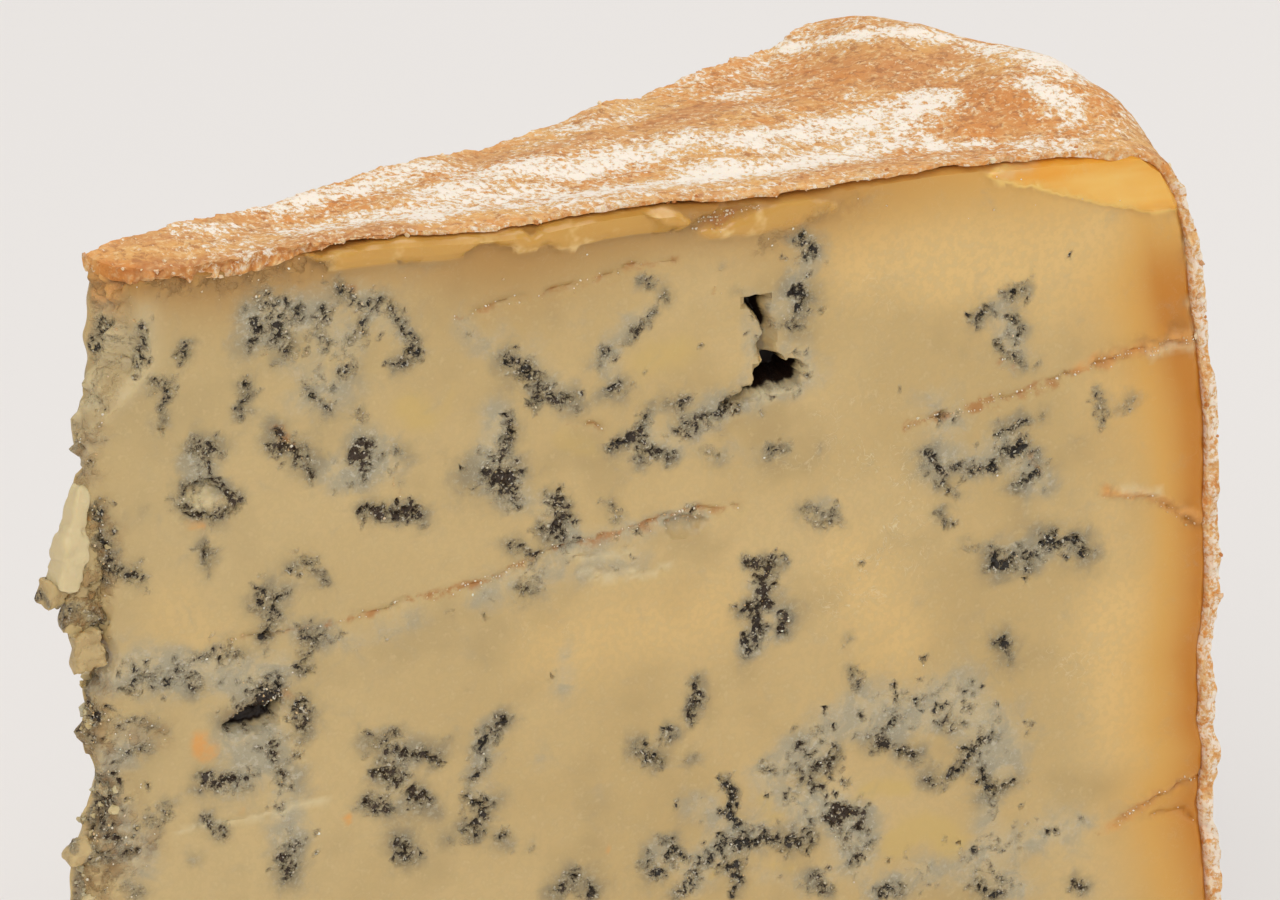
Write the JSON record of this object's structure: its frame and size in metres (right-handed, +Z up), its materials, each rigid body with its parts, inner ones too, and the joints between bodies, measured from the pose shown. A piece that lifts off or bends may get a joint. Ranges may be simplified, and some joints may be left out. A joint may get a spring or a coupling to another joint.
{
  "type": "blue cheese wedge",
  "caption": "Wedge of blue-veined cheese cut from half a drum, with a bloomed rind over its top and outer side and a broken, crumbly tip.",
  "frame": {"origin": "centre of the flat base's box, on the base", "axes": "+Z up, +X from the tip along the front cut face to the rind, -Y out of the front cut face"},
  "size_m": [0.1036, 0.0484, 0.108],
  "materials": {
    "paste": "waxy satin, pale butter yellow, with blue-grey mould veins and small pits",
    "rind": "dry, rough, orange brown with a white powdery bloom"
  },
  "bodies": {
    "root": {"cheese_wedge": "paste"}
  },
  "joints": []
}
